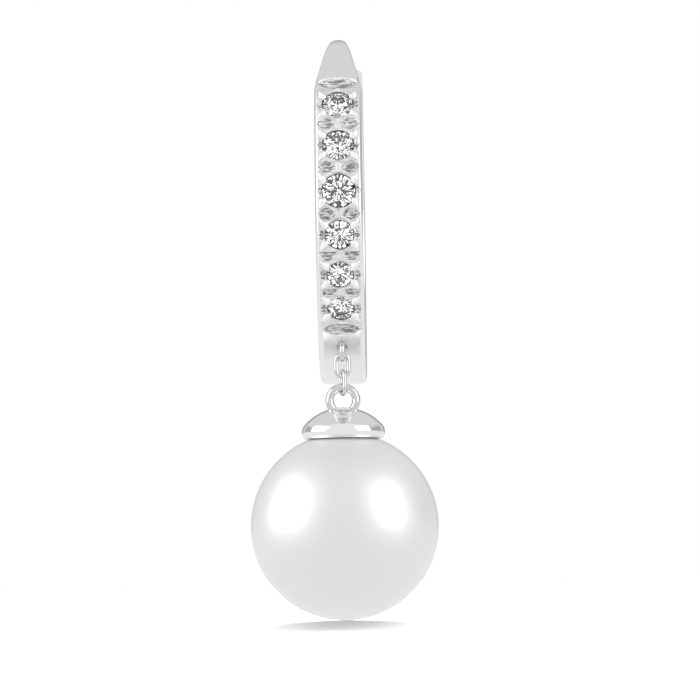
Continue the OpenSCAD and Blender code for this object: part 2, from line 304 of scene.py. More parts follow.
class DropSizes(PropertyGroup):
    """Sizes of the links, the cap and the pearl."""

    loop_wire: size("Fixed loop wire", "Radius of the fixed loop's wire", 0.11)
    loop_radius: size("Fixed loop radius", "Radius of the fixed loop to its wire's centre", 0.36)
    loop_out: size("Fixed loop distance", "How far the fixed loop's centre lies outside the band", 0.2)
    link_wire: size("Link wire", "Radius of the link wire", 0.1)
    lower_wire: size("Lower link wire", "Radius of the lower link's wire, thinner as it hangs turned", 0.09)
    upper_height: size("Upper link height", "Height of the upper link between wire centres", 0.93)
    upper_half: size("Upper link width", "Half the spacing of the upper link's strands", 0.27)
    lower_height: size("Lower link height", "Height of the lower link between wire centres", 0.99)
    lower_half: size("Lower link width", "Half the spacing of the lower link's strands", 0.31)
    eye_radius: size("Eye radius", "Radius of the cap's eye to its wire's centre", 0.5675)
    eye_wire: size("Eye wire", "Radius of the eye's wire", 0.1775)
    rest_gap: size("Rest gap", "Gap between links that hang in each other", 0.02)
    eye_above: size("Eye height", "Height of the eye's centre above the dome", 0.3)
    dome_radius: size("Dome radius", "Radius of the cap's dome", 2.22)
    dome_above: size("Dome height", "Height of the dome's top above the pearl", 1.065)
    cap_radius: size("Cap radius", "Radius of the cap's rim", 1.77)
    rim_lift: size("Rim lift", "Height of the rim above a sharp edge", 0.09)
    rim_round: size("Rim rounding", "Rounding of the rim's lower corner", 0.06)
    wall_round: size("Wall rounding", "Radius that rounds the dome into the rim", 0.45)
    glue_gap: size("Glue gap", "Gap between the cap and the pearl", 0.04)
    peg_radius: size("Peg radius", "Radius of the peg inside the pearl", 0.35)
    peg_length: size("Peg length", "Length of the peg inside the pearl", 2.6)
    drill_radius: size("Drill radius", "Radius of the hole in the pearl", 0.38)
    drill_depth: size("Drill depth", "Depth of the hole in the pearl", 2.7)
    pearl_radius: size("Pearl radius", "Radius of the pearl", 4.0)


class Finishes(PropertyGroup):
    """Colours and polish."""

    gold: colour("White gold", "Colour of the polished white gold", (0.93, 0.925, 0.915))
    gold_shade: colour("White gold shade", "Colour of the white gold's faint patches", (0.89, 0.885, 0.875))
    # Darker colour of the graver cuts: painted shade in the recesses, stronger along the streaks
    cut: colour("Graver cuts", "Colour of the graver cuts", (0.2, 0.2, 0.2))
    cut_roughness: share("Cut roughness", "How much rougher the graver cuts are", 0.3)
    prong: colour("Prongs", "Colour of the burnished prongs", (0.97, 0.97, 0.965))
    prong_roughness: share("Prong roughness", "Roughness of the burnished prongs", 0.24)
    gold_roughness: share("Gold roughness", "Roughness of the polished white gold", 0.22)
    cap_roughness: share("Cap roughness", "Roughness of the cap", 0.1)
    # Darker than the hoop's white gold: painted shade on the thin wires
    wire: colour("Wire", "Colour of the drawn wire of the links, the loop and the eye", (0.68, 0.68, 0.675))
    wire_roughness: share("Wire roughness", "Roughness of the drawn wire", 0.08)
    pearl: colour("Pearl", "Body colour of the pearl", (0.715, 0.7, 0.705))
    pearl_shade: colour("Pearl shade", "Colour of the pearl's faint patches", (0.685, 0.675, 0.675))
    # Lighter colour towards the pearl's outline: painted sheen
    pearl_painted_sheen: colour("Pearl outline", "Colour of the pearl towards its outline", (0.78, 0.77, 0.775))
    pearl_roughness: share("Pearl roughness", "Roughness of the pearl's body", 0.45)
    pearl_gloss: share("Pearl gloss", "Roughness of the pearl's glossy layers", 0.36)
    floor: colour("Floor", "Colour of the floor", (0.45, 0.45, 0.45))


class StudioSettings(PropertyGroup):
    """Light and camera."""

    surround: share("Surround", "Brightness of the white surround", 1.0, 10)
    front_shade: share("Front shade", "How much dimmer reflections see the surround", 0.13)
    back_shade: share("Back shade", "How much dimmer it is above and behind the earring", 0.16)
    far_shade: share("Far shade", "How much dimmer it is straight behind the earring", 0.5)
    side_shade: share("Side cards", "How much the dark cards beside the earring take away", 0.3)
    gap_scale: share("Gap scale", "How fine the gaps between the lights are", 4.0, 50)
    stone_light: share("Stone light", "How much brighter the stones see the lights", 1.8, 10)
    camera_shade: share("Camera shade", "How dark the stones see the camera", 0.97)
    softbox: share("Softboxes", "Radiance of the two softboxes on the metal", 1.5, 50)
    pearl_softbox: share("Pearl softboxes", "Radiance of the two softboxes on the pearl", 5.0, 50)
    floor_glow: share("Floor glow", "Light that comes through the floor", 0.1, 10)
    floor_bounce: share("Floor bounce", "Light from the floor on the earring", 1.0, 10)
    floor_mirrored: share("Mirrored floor", "Brightness of the floor in the metal", 0.87, 10)
    floor_light: share("Floor light", "Strength of the lamp that throws the shadow on the floor", 134.0, 500)
    distance: size("Camera distance", "Distance of the camera in front of the hoop's middle", 150)
    below: size("Camera height", "Height of the camera from the hoop's middle", -16.2)
    aside: size("Camera offset", "Sideways place of the camera", 1.9)
    floor_gap: size("Floor gap", "Gap between the pearl and the floor", 0.001)


class EarringSettings(PropertyGroup):
    """All the settings of the earring."""

    hoop: PointerProperty(type=HoopSizes)
    setting: PointerProperty(type=SettingSizes)
    drop: PointerProperty(type=DropSizes)
    finish: PointerProperty(type=Finishes)
    studio: PointerProperty(type=StudioSettings)


def settings():
    """The earring's settings, kept on the scene."""
    return bpy.context.scene.earring


def hoop_centre():
    """The hoop's middle, worked out from the hinge's axis."""
    hoop = settings().hoop
    radius = hoop.radius - hoop.front_thickness / 2
    hinge = JOINT_AT["back_hinge"]
    turn = math.radians(HINGE_AT)
    return Vector((0, hinge.y + radius * math.cos(turn), hinge.z - radius * math.sin(turn)))


def on_hoop(angle, radius, across=0.0):
    """Points at an angle in radians and a radius round the hoop; numbers or arrays."""
    centre = hoop_centre()
    y = centre.y - radius * np.cos(angle)
    z = centre.z + radius * np.sin(angle)
    return np.stack(np.broadcast_arrays(across, y, z), axis=-1)


def along_hoop(angle, degrees):
    """Distance along the band's surface from a place in degrees to an angle in radians."""
    return settings().hoop.radius * (angle - math.radians(degrees))


def drop_places():
    """Heights of the drop's parts, from the two swing axes."""
    drop = settings().drop
    upper_bottom = JOINT_AT["drop_swing_fore_aft"]
    lower_bottom = JOINT_AT["drop_swing_side"]
    eye = lower_bottom.z + drop.link_wire + drop.rest_gap + drop.eye_wire - drop.eye_radius
    apex = eye - drop.eye_above
    pearl_top = apex - drop.dome_above
    return {
        "y": upper_bottom.y,
        "upper_bottom": upper_bottom.z,
        "upper_top": upper_bottom.z + drop.upper_height,
        "lower_bottom": lower_bottom.z,
        "lower_top": lower_bottom.z + drop.lower_height,
        "eye": eye,
        "apex": apex,
        "pearl_top": pearl_top,
        "pearl": pearl_top - drop.pearl_radius,
    }


# Meshes


def outward(mesh):
    """Turns a closed mesh's faces outwards, by the sign of its volume."""
    work = bmesh.new()
    work.from_mesh(mesh)
    if work.calc_volume(signed=True) < 0:
        bmesh.ops.reverse_faces(work, faces=work.faces)
    work.to_mesh(mesh)
    work.free()


def smooth(mesh, sharp_degrees=35):
    """Smooth shading, but for edges sharper than an angle."""
    mesh.shade_smooth()
    mesh.set_sharp_from_angle(angle=math.radians(sharp_degrees))


def show(name, mesh):
    """A mesh's own object, in the scene."""
    piece = bpy.data.objects.new(name, mesh)
    bpy.context.scene.collection.objects.link(piece)
    return piece


def add_object(name, points, faces, material=None):
    """A closed mesh at the origin, with its place in its vertices."""
    mesh = bpy.data.meshes.new(name)
    mesh.from_pydata([tuple(p) for p in np.asarray(points, float).tolist()], [], faces)
    mesh.validate()
    outward(mesh)
    if material:
        mesh.materials.append(material)
    return show(name, mesh)


def skin(rings, capped=True):
    """Vertices and faces of closed rings that follow each other, with flat ends."""
    count, around = rings.shape[:2]
    row = np.arange(count - 1)[:, None] * around
    col = np.arange(around)[None, :]
    after = (col + 1) % around
    quads = np.stack([row + col, row + after, row + around + after, row + around + col], axis=-1)
    faces = quads.reshape(-1, 4).tolist()
    if capped:
        faces.append(list(range(around - 1, -1, -1)))
        faces.append(list(range((count - 1) * around, count * around)))
    return rings.reshape(-1, 3), faces


def lathe(name, outline, centre, turns, material=None):
    """Turns an outline of (radius, height) pairs round a vertical axis; both ends lie on the axis."""
    outline = np.asarray(outline, float)
    angles = np.arange(turns) * 2 * math.pi / turns
    body = outline[1:-1]
    x = centre[0] + np.outer(body[:, 0], np.cos(angles))
    y = centre[1] + np.outer(body[:, 0], np.sin(angles))
    z = np.repeat(body[:, 1][:, None], turns, axis=1)
    points, faces = skin(np.stack([x, y, z], axis=-1), capped=False)
    points = np.vstack([points, *((*centre, outline[end, 1]) for end in (0, -1))])
    start, end = len(points) - 2, len(points) - 1
    base = (len(body) - 1) * turns
    for i in range(turns):
        j = (i + 1) % turns
        faces += [[start, j, i], [end, base + i, base + j]]
    piece = add_object(name, points, faces, material)
    smooth(piece.data)
    return piece


def arc(centre, radius, start, end, steps):
    """Points of an arc between two angles in degrees."""
    angles = np.radians(np.linspace(start, end, steps))
    return [(centre[0] + radius * math.cos(a), centre[1] + radius * math.sin(a)) for a in angles]


def ball_arc(centre, radius, start, end, steps):
    """Points (radius, height) of a ball round the vertical axis, by the angle in radians from its top."""
    angles = np.linspace(start, end, steps)
    return [(radius * math.sin(angle), centre + radius * math.cos(angle)) for angle in angles]


def stand(piece, place, axis):
    """Turns a piece made along Z to an axis, and moves it to its place."""
    turn = Vector(axis).to_track_quat("Z", "Y").to_matrix().to_4x4()
    piece.data.transform(Matrix.Translation(place) @ turn)


def rod(name, radius, start, end, bevel, material=None, turns=ROD_TURNS):
    """A round rod between two points, with bevelled ends."""
    start, end = Vector(start), Vector(end)
    length = (end - start).length
    outline = [(0, 0)]
    outline += arc((radius - bevel, bevel), bevel, -90, 0, BEVEL_POINTS)
    outline += arc((radius - bevel, length - bevel), bevel, 0, 90, BEVEL_POINTS)
    outline.append((0, length))
    piece = lathe(name, outline, (0, 0), turns, material)
    stand(piece, start, end - start)
    return piece


def torus(name, centre, axis, radius, wire, counts=WIRE_POINTS):
    """A ring of round wire."""
    around, section = counts
    u = np.arange(around)[:, None] * 2 * math.pi / around
    v = np.arange(section)[None, :] * 2 * math.pi / section
    out = radius + wire * np.cos(v)
    ring = np.stack(np.broadcast_arrays(out * np.cos(u), out * np.sin(u), wire * np.sin(v)), axis=-1)
    points, faces = skin(np.concatenate([ring, ring[:1]]), capped=False)
    merged = around * section
    faces = [[i % merged for i in face] for face in faces]
    piece = add_object(name, points[:merged], faces, gold("wire"))
    stand(piece, centre, axis)
    piece.data.shade_smooth()
    return piece


def combine(piece, operation, *cutters):
    """Adds to or cuts from a piece, and removes the cutters."""
    for cutter in cutters:
        modifier = piece.modifiers.new("combine", "BOOLEAN")
        modifier.operation = operation
        modifier.solver = "MANIFOLD"
        modifier.object = cutter
    depsgraph = bpy.context.evaluated_depsgraph_get()
    made = bpy.data.meshes.new_from_object(piece.evaluated_get(depsgraph))
    piece.modifiers.clear()
    old, piece.data = piece.data, made
    made.name = piece.name
    bpy.data.meshes.remove(old)
    for cutter in cutters:
        bpy.data.objects.remove(cutter)


def join(name, pieces):
    """One object from several closed shells, each with its own material."""
    work = bmesh.new()
    mesh = bpy.data.meshes.new(name)
    for slot, piece in enumerate(pieces):
        mesh.materials.append(piece.data.materials[0])
        known = len(work.faces)
        work.from_mesh(piece.data)
        work.faces.ensure_lookup_table()
        for face in work.faces[known:]:
            face.material_index = slot
        bpy.data.objects.remove(piece)
    work.to_mesh(mesh)
    work.free()
    smooth(mesh)
    return show(name, mesh)


def hinge_rod(name, radius, half_width, offset=0.0, bevel=SHARP, material=None):
    """A rod across the band on the hinge's axis."""
    hinge = JOINT_AT["back_hinge"]
    ends = (hinge + Vector((offset + side * half_width, 0, 0)) for side in (-1, 1))
    return rod(name, radius, *ends, bevel, material)


def box_cutter(name, low, high):
    """A box between two corners."""
    corners = [(x, y, z) for x in (low[0], high[0]) for y in (low[1], high[1]) for z in (low[2], high[2])]
    faces = [(0, 1, 3, 2), (4, 6, 7, 5), (0, 4, 5, 1), (2, 3, 7, 6), (0, 2, 6, 4), (1, 5, 7, 3)]
    return add_object(name, corners, faces)


def ride(piece, body, slot, *nodes):
    """Fastens a finished piece to its body and hides the solids that it stands for; the finish's name that it
    is given is not used.
    """
    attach(piece, body)
    if nodes:
        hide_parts(*nodes)


# Nodes


def feed(tree, node, feeds):
    """Sets a node's properties, and its inputs by number, identifier or name, to values or to sockets."""
    for name, value in feeds.items():
        same = [place for place in node.inputs if place.identifier == name]
        place = node.inputs[name] if isinstance(name, int) else (same or [node.inputs.get(name)])[0]
        if place is None:
            setattr(node, name, value)
        elif isinstance(value, bpy.types.NodeSocket):
            tree.links.new(value, place)
        else:
            place.default_value = value
    return node


def add_node(tree, kind, feeds=None, **values):
    """A node with its properties set, and its inputs set or linked."""
    return feed(tree, tree.nodes.new(kind), {**values, **(feeds or {})})


def calculate(tree, operation, *values):
    """A math node of numbers and sockets."""
    return add_node(tree, "ShaderNodeMath", dict(enumerate(values)), operation=operation).outputs[0]


def vector_math(tree, operation, *values):
    """A math node of vectors, as its outputs."""
    return add_node(tree, "ShaderNodeVectorMath", dict(enumerate(values)), operation=operation).outputs


def new_tree(kind, name, inputs, outputs):
    """A node group of named (label, kind, value) inputs and (label, kind) outputs."""
    tree = bpy.data.node_groups.new(name, kind)
    for side, rows in (("INPUT", inputs), ("OUTPUT", outputs)):
        for label, sort, *value in rows:
            made = tree.interface.new_socket(label, in_out=side, socket_type="NodeSocket" + sort)
            if value:
                made.default_value = value[0]
    return tree, tree.nodes.new("NodeGroupInput").outputs, tree.nodes.new("NodeGroupOutput")


# Geometry Nodes


def geometry_tree(name, **inputs):
    """A geometry tree with Geometry, Material and other named inputs, and a Geometry output."""
    rows = [(label.replace("_", " "), sort) for label, sort in inputs.items()]
    geometry = ("Geometry", "Geometry")
    return new_tree("GeometryNodeTree", name, [geometry, *rows, ("Material", "Material")], [geometry])


def finish_tree(tree, source, given, result):
    """Ends a tree in Realize Instances and Set Material."""
    realize = add_node(tree, "GeometryNodeRealizeInstances", {0: source.outputs[0]})
    feeds = {"Geometry": realize.outputs[0], "Material": given["Material"]}
    feed(tree, result, {0: add_node(tree, "GeometryNodeSetMaterial", feeds).outputs[0]})
    return tree


def evaluate_tree(name, mesh, tree, values):
    """Runs a tree on a mesh and returns the plain result."""
    carrier = show(name, mesh)
    modifier = carrier.modifiers.new("shape", "NODES")
    modifier.node_group = tree
    by_name = {item.name: item.identifier for item in tree.interface.items_tree if item.in_out == "INPUT"}
    for label, value in values.items():
        modifier[by_name[label]] = value
    carrier.update_tag()
    depsgraph = bpy.context.evaluated_depsgraph_get()
    made = bpy.data.meshes.new_from_object(carrier.evaluated_get(depsgraph))
    carrier.modifiers.clear()
    carrier.data = made
    made.name = name
    outward(made)
    return carrier


def placing_tree():
    """Sets a template on each point, turned and scaled by the points' own attributes."""
    tree, given, result = geometry_tree("set_along_the_row", Template="Object")
    named, vector = "GeometryNodeInputNamedAttribute", {"data_type": "FLOAT_VECTOR"}
    turn, stretch = (add_node(tree, named, {**vector, "Name": name}) for name in ("turn", "stretch"))
    turn = add_node(tree, "FunctionNodeEulerToRotation", Euler=turn.outputs["Attribute"])
    feeds = {
        "Points": given["Geometry"],
        "Instance": add_node(tree, "GeometryNodeObjectInfo", Object=given["Template"]).outputs["Geometry"],
        "Rotation": turn.outputs["Rotation"],
        "Scale": stretch.outputs["Attribute"],
    }
    return finish_tree(tree, add_node(tree, "GeometryNodeInstanceOnPoints", feeds), given, result)


def placed(name, template, places, material):
    """Copies of a template at (point, turn, stretch) places, as one plain mesh."""
    mesh = bpy.data.meshes.new(name)
    mesh.from_pydata([tuple(point) for point, _turn, _stretch in places], [], [])
    for label, column in (("turn", 1), ("stretch", 2)):
        attribute = mesh.attributes.new(label, "FLOAT_VECTOR", "POINT")
        attribute.data.foreach_set("vector", [v for row in places for v in row[column]])
    piece = evaluate_tree(name, mesh, placing_tree(), {"Template": template, "Material": material})
    bpy.data.objects.remove(template)
    return piece


def link_tree():
    """An oval link of round wire: a circle pulled apart along Z and swept with a smaller circle."""
    tree, given, result = geometry_tree(
        "oval_link", Half_width="Float", Straight="Float", Wire="Float", Turn="Float", Centre="Vector"
    )
    circle, transform = "GeometryNodeCurvePrimitiveCircle", "GeometryNodeTransform"
    along, section = WIRE_POINTS
    path = add_node(tree, circle, Resolution=along, Radius=given["Half width"])
    wire = add_node(tree, circle, Resolution=section, Radius=given["Wire"])
    place = add_node(tree, "GeometryNodeInputPosition").outputs[0]
    parts = add_node(tree, "ShaderNodeSeparateXYZ", {0: place}).outputs
    half = calculate(tree, "MULTIPLY", given["Straight"], 0.5)
    pull = calculate(tree, "MULTIPLY", calculate(tree, "SIGN", parts["Y"]), half)
    offset = add_node(tree, "ShaderNodeCombineXYZ", Y=pull).outputs[0]
    oval = add_node(tree, "GeometryNodeSetPosition", Geometry=path.outputs["Curve"], Offset=offset)
    feeds = {"Curve": oval.outputs[0], "Profile Curve": wire.outputs["Curve"]}
    swept = add_node(tree, "GeometryNodeCurveToMesh", feeds)
    upright = add_node(tree, transform, Geometry=swept.outputs[0], Rotation=(math.pi / 2, 0, 0))
    spin = add_node(tree, "ShaderNodeCombineXYZ", Z=given["Turn"]).outputs[0]
    feeds = {"Geometry": upright.outputs[0], "Rotation": spin, "Translation": given["Centre"]}
    facing = add_node(tree, transform, feeds)
    shade = add_node(tree, "GeometryNodeSetShadeSmooth", Geometry=facing.outputs[0])
    return finish_tree(tree, shade, given, result)


def sweep_tree():
    """Sweeps the input outline along an arc round the hoop's middle."""
    tree, given, result = geometry_tree(
        "band_sweep", Radius="Float", Start="Float", Sweep="Float", Stations="Int", Centre="Vector"
    )
    feeds = {
        "Radius": given["Radius"],
        "Start Angle": given["Start"],
        "Sweep Angle": given["Sweep"],
        "Resolution": given["Stations"],
    }
    path = add_node(tree, "GeometryNodeCurveArc", feeds)
    outline = add_node(tree, "GeometryNodeMeshToCurve", Mesh=given["Geometry"])
    feeds = {"Curve": path.outputs["Curve"], "Profile Curve": outline.outputs[0], "Fill Caps": True}
    swept = add_node(tree, "GeometryNodeCurveToMesh", feeds)
    feeds = {
        "Geometry": swept.outputs[0],
        "Rotation": (math.pi / 2, 0, math.pi / 2),
        "Translation": given["Centre"],
    }
    return finish_tree(tree, add_node(tree, "GeometryNodeTransform", feeds), given, result)


# Materials


def rgba(value):
    """A colour with full cover."""
    return (*value, 1.0)


def ramp(tree, value, low, high, top=1.0):
    """A smooth step of a value, from 0 at low to top at high."""
    feeds = {"Value": value, "From Min": low, "From Max": high, "To Max": top}
    return add_node(tree, "ShaderNodeMapRange", feeds, interpolation_type="SMOOTHSTEP").outputs[0]


def mix(tree, sort, factor, first, second):
    """The first colour or number where the factor is 0, the second where it is 1."""
    feeds = {"Factor_Float": factor, "A_" + sort: first, "B_" + sort: second}
    data_type = {"Color": "RGBA", "Float": "FLOAT"}[sort]
    node = add_node(tree, "ShaderNodeMix", feeds, data_type=data_type)
    return next(out for out in node.outputs if out.identifier == "Result_" + sort)


def noise(tree, place, scale, detail, roughness=0.5):
    """Soft noise at a place, round 0.5."""
    feeds = {"Vector": place, "Scale": scale, "Detail": detail, "Roughness": roughness}
    return add_node(tree, "ShaderNodeTexNoise", feeds).outputs["Fac"]


def object_place(tree):
    """Places on a piece, in its own coordinates."""
    return add_node(tree, "ShaderNodeTexCoord").outputs["Object"]


def from_centre(tree, place):
    """Places from the hoop's middle."""
    return vector_math(tree, "SUBTRACT", place, hoop_centre())["Vector"]


def hand_polish():
    """Faint patches, a roughness that drifts, and hairline scratches."""
    tree = bpy.data.node_groups.get("hand_polish")
    if tree:
        return tree
    tree, given, result = new_tree(
        "ShaderNodeTree",
        "hand_polish",
        [
            ("Colour", "Color", (1, 1, 1, 1)),
            ("Shade", "Color", (0.9, 0.9, 0.9, 1)),
            ("Patch scale", "Float", 900.0),
            ("Roughness", "Float", 0.06),
            ("Drift", "Float", 0.03),
            ("Scratch scale", "Float", 6000.0),
        ],
        [("Colour", "Color"), ("Roughness", "Float"), ("Height", "Float")],
    )
    place = object_place(tree)
    patches = noise(tree, place, given["Patch scale"], 3.0)
    along = vector_math(tree, "MULTIPLY", place, SCRATCH_STRETCH)["Vector"]
    feeds = {
        "Colour": mix(tree, "Color", patches, given["Colour"], given["Shade"]),
        "Roughness": calculate(tree, "MULTIPLY_ADD", patches, given["Drift"], given["Roughness"]),
        "Height": noise(tree, along, given["Scratch scale"], 2.0, 0.6),
    }
    feed(tree, result, feeds)
    return tree


def light_gaps():
    """Dark gaps between the lights of the studio, as a mask over directions."""
    tree = bpy.data.node_groups.get("light_gaps")
    if tree:
        return tree
    tree, given, result = new_tree(
        "ShaderNodeTree",
        "light_gaps",
        [("Direction", "Vector", (0, 0, 1)), ("Scale", "Float", 4.0)],
        [("Dark", "Float")],
    )
    level = vector_math(tree, "NORMALIZE", given["Direction"])["Vector"]
    cells = noise(tree, level, given["Scale"], 0.0)
    feed(tree, result, {"Dark": ramp(tree, cells, *GAP_SHADE)})
    return tree


def gaps_towards(tree, direction):
    """The gaps between the lights as seen in a direction."""
    feeds = {"Direction": direction, "Scale": settings().studio.gap_scale}
    return add_node(tree, "ShaderNodeGroup", feeds, node_tree=light_gaps()).outputs["Dark"]


def new_material(name, feeds):
    """A material, its tree and its surface with plain inputs set."""
    material = bpy.data.materials.new(name)
    material.use_nodes = True
    tree = material.node_tree
    return material, tree, feed(tree, tree.nodes["Principled BSDF"], feeds)


def polish(
    tree, surface, base, shade, roughness, drift=0.05, patch=900, scratch=9000, bump=0.04, reach=0.01 * MM
):
    """Feeds a surface's colour, roughness and normal from the hand polish, and returns its outputs."""
    feeds = {
        "Colour": rgba(base),
        "Shade": rgba(shade),
        "Patch scale": patch,
        "Roughness": roughness,
        "Drift": drift,
        "Scratch scale": scratch,
    }
    made = add_node(tree, "ShaderNodeGroup", feeds, node_tree=hand_polish()).outputs
    raised = add_node(tree, "ShaderNodeBump", Strength=bump, Distance=reach, Height=made["Height"])
    feeds = {"Base Color": made["Colour"], "Roughness": made["Roughness"], "Normal": raised.outputs["Normal"]}
    feed(tree, surface, feeds)
    return made


def gold(finish_name):
    """White gold of one finish, made once: the hoop's, the cap's, the drawn wire's or the prongs'. The drawn
    wire's is a darker copy of the same gold: painted shade.
    """
    name = finish_name + "_gold"
    material = bpy.data.materials.get(name)
    if material:
        return material
    finish = settings().finish
    base, shade, roughness, drift = {
        "white": (finish.gold, finish.gold_shade, finish.gold_roughness, 0.05),
        "cap": (finish.gold, finish.gold_shade, finish.cap_roughness, 0.08),
        # The drawn wire's darker colour is painted shade
        "wire": (finish.wire, finish.wire, finish.wire_roughness, 0.05),
        "burnished": (finish.prong, finish.prong, finish.prong_roughness, 0.05),
    }[finish_name]
    material, tree, surface = new_material(name, {"Metallic": 1.0})
    polish(tree, surface, base, shade, roughness, drift)
    return material


def cut_mask(tree, centred):
    """1 in the graver cuts: below the band's surface, between its rails and within the row."""
    radius = settings().hoop.radius
    flat = vector_math(tree, "MULTIPLY", centred, (0, 1, 1))["Vector"]
    out = vector_math(tree, "LENGTH", flat)["Value"]
    parts = add_node(tree, "ShaderNodeSeparateXYZ", {0: centred}).outputs
    ahead = calculate(tree, "MULTIPLY", parts["Y"], -1.0)
    slope = calculate(tree, "DIVIDE", parts["Z"], ahead)
    top, bottom = (math.tan(math.radians(angle)) for angle in (CARVED_TO, CARVED_FROM))
    mask = 1.0
    for value, low, high in (
        (out, *(radius - depth for depth in MASK_TOP)),
        (out, *(radius - depth for depth in MASK_FLOOR)),
        (calculate(tree, "ABSOLUTE", parts["X"]), *MASK_SIDE),
        (slope, top + MASK_END, top),
        (slope, bottom - MASK_END, bottom),
    ):
        mask = calculate(tree, "MULTIPLY", mask, ramp(tree, value, low, high))
    return mask


def carved_gold():
    """White gold whose graver cuts are rougher than the band's surface, and darker with painted shade."""
    finish = settings().finish
    material, tree, surface = new_material("carved_gold", {"Metallic": 1.0})
    made = polish(tree, surface, finish.gold, finish.gold_shade, finish.gold_roughness)
    place = object_place(tree)
    mask = cut_mask(tree, from_centre(tree, place))
    across = vector_math(tree, "MULTIPLY", place, STREAK_STRETCH)["Vector"]
    streaks = noise(tree, across, STREAK_SCALE, 3.0, 0.6)
    # Painted shade in the cuts: a little all over, and more along the streaks, which also give a bump
    painted_shade = calculate(tree, "MULTIPLY", ramp(tree, streaks, *STREAK_PAINTED_SHADE), mask)
    painted_shade = calculate(tree, "MULTIPLY_ADD", mask, CUT_PAINTED_SHADE, painted_shade)
    deep = calculate(tree, "MULTIPLY", streaks, mask)
    polished = surface.inputs["Normal"].links[0].from_socket
    feeds = {"Strength": 1.0, "Distance": STREAK_DEPTH, "Height": deep, "Normal": polished}
    lines = add_node(tree, "ShaderNodeBump", feeds)
    feeds = {
        "Base Color": mix(tree, "Color", painted_shade, made["Colour"], rgba(finish.cut)),
        "Roughness": calculate(tree, "MULTIPLY_ADD", mask, finish.cut_roughness, made["Roughness"]),
        "Normal": lines.outputs["Normal"],
    }
    feed(tree, surface, feeds)
    return material


def brilliant_glass():
    """Clear stone of high refraction."""
    material, tree, surface = new_material("cut_stone", {"IOR": 2.417, "Transmission Weight": 1.0})
    clear, tinged = (1, 1, 1), (0.985, 0.99, 1.0)
    polish(tree, surface, clear, tinged, 0.0, drift=0.004, patch=1500, bump=0.0, reach=0.001 * MM)
    return material


def nacre():
    """Pearl: a soft body under glossy layers, with painted sheen that makes it a little lighter towards its
    outline.
    """
    finish = settings().finish
    feeds = {
        "IOR": 1.75,
        "Subsurface Weight": 0.3,
        "Subsurface Radius": (1.0, 0.9, 0.85),
        "Subsurface Scale": 0.4 * MM,
        "Specular IOR Level": 0.8,
        "Coat Weight": 1.0,
        "Coat Roughness": finish.pearl_gloss,
        "Coat IOR": 1.75,
    }
    material, tree, surface = new_material("nacre", feeds)
    layers = (finish.pearl, finish.pearl_shade, finish.pearl_roughness)
    made = polish(tree, surface, *layers, drift=0.06, patch=350, scratch=1400, bump=0.05, reach=0.02 * MM)
    # Painted sheen: the colour lightens towards the outline, by the angle to the view
    facing = add_node(tree, "ShaderNodeLayerWeight", Blend=0.35).outputs["Facing"]
    rim = mix(tree, "Color", facing, made["Colour"], rgba(finish.pearl_painted_sheen))
    feed(tree, surface, {"Base Color": rim})
    return material


def floor_paper():
    """White paper lit from below and above. The metal, the pearl and the stones see it as even light, and
    the stones also see the gaps between the lights in it."""
    studio = settings().studio
    feeds = {
        "Base Color": rgba(settings().finish.floor),
        "Roughness": 0.9,
        "Specular IOR Level": 0.0,
        "Emission Color": (1, 1, 1, 1),
        "Emission Strength": studio.floor_glow,
    }
    material, tree, surface = new_material("floor", feeds)
    path = add_node(tree, "ShaderNodeLightPath").outputs
    dark = gaps_towards(tree, from_centre(tree, object_place(tree)))
    lit = calculate(tree, "MULTIPLY_ADD", dark, -studio.stone_light, studio.stone_light)
    change = studio.floor_mirrored - studio.floor_bounce
    mirrored = calculate(tree, "MULTIPLY", path["Is Glossy Ray"], change)
    mirrored = calculate(tree, "ADD", mirrored, studio.floor_bounce)
    level = mix(tree, "Float", path["Is Transmission Ray"], mirrored, lit)
    glow = add_node(tree, "ShaderNodeEmission", Color=(1, 1, 1, 1), Strength=level)
    feeds = {0: path["Is Camera Ray"], 1: glow.outputs[0], 2: surface.outputs[0]}
    choose = add_node(tree, "ShaderNodeMixShader", feeds)
    feed(tree, tree.nodes["Material Output"], {"Surface": choose.outputs[0]})
    return material


# The front half's carved band


def smooth_min(a, b, reach):
    """The lower of two surfaces, with their meeting edge rounded."""
    t = np.clip(0.5 + 0.5 * (b - a) / reach, 0, 1)
    return b + (a - b) * t - reach * t * (1 - t)


def scoop(along, across, half_high, half_long, depth, fullness=2.0):
    """Height of an olive-shaped cut, above the band outside its outline."""
    inside = 1 - np.abs(across / half_long) ** fullness
    return depth * ((along / half_high) ** 2 / np.maximum(inside, 0.001) - inside)


def bowl(along, across, half_high, half_long, depth):
    """Height of a half-moon cut, with a steep straight wall above."""
    olive = scoop(along - BOWL_MIDDLE * half_high, across, BOWL_OLIVE * half_high, half_long, depth)
    return np.maximum(olive, CUT_SLOPE * (along - BOWL_WALL * half_high))


def between(upper, lower):
    """Angle half way along the bare metal between two stones, in degrees."""
    lean = math.degrees((lower[1] - upper[1]) / 4 * MM / settings().hoop.radius)
    return (upper[0] + lower[0]) / 2 + lean


def seat(along, across, radius, diameter):
    """Height of a stone's seat: a cone under the girdle's ledge, and a steep wall round it."""
    out = np.hypot(along, across)
    ledge = settings().setting.girdle_depth + LEDGE * diameter
    return np.where(out < radius, -ledge - SEAT_SLOPE * (radius - out), -ledge + WALL_SLOPE * (out - radius))


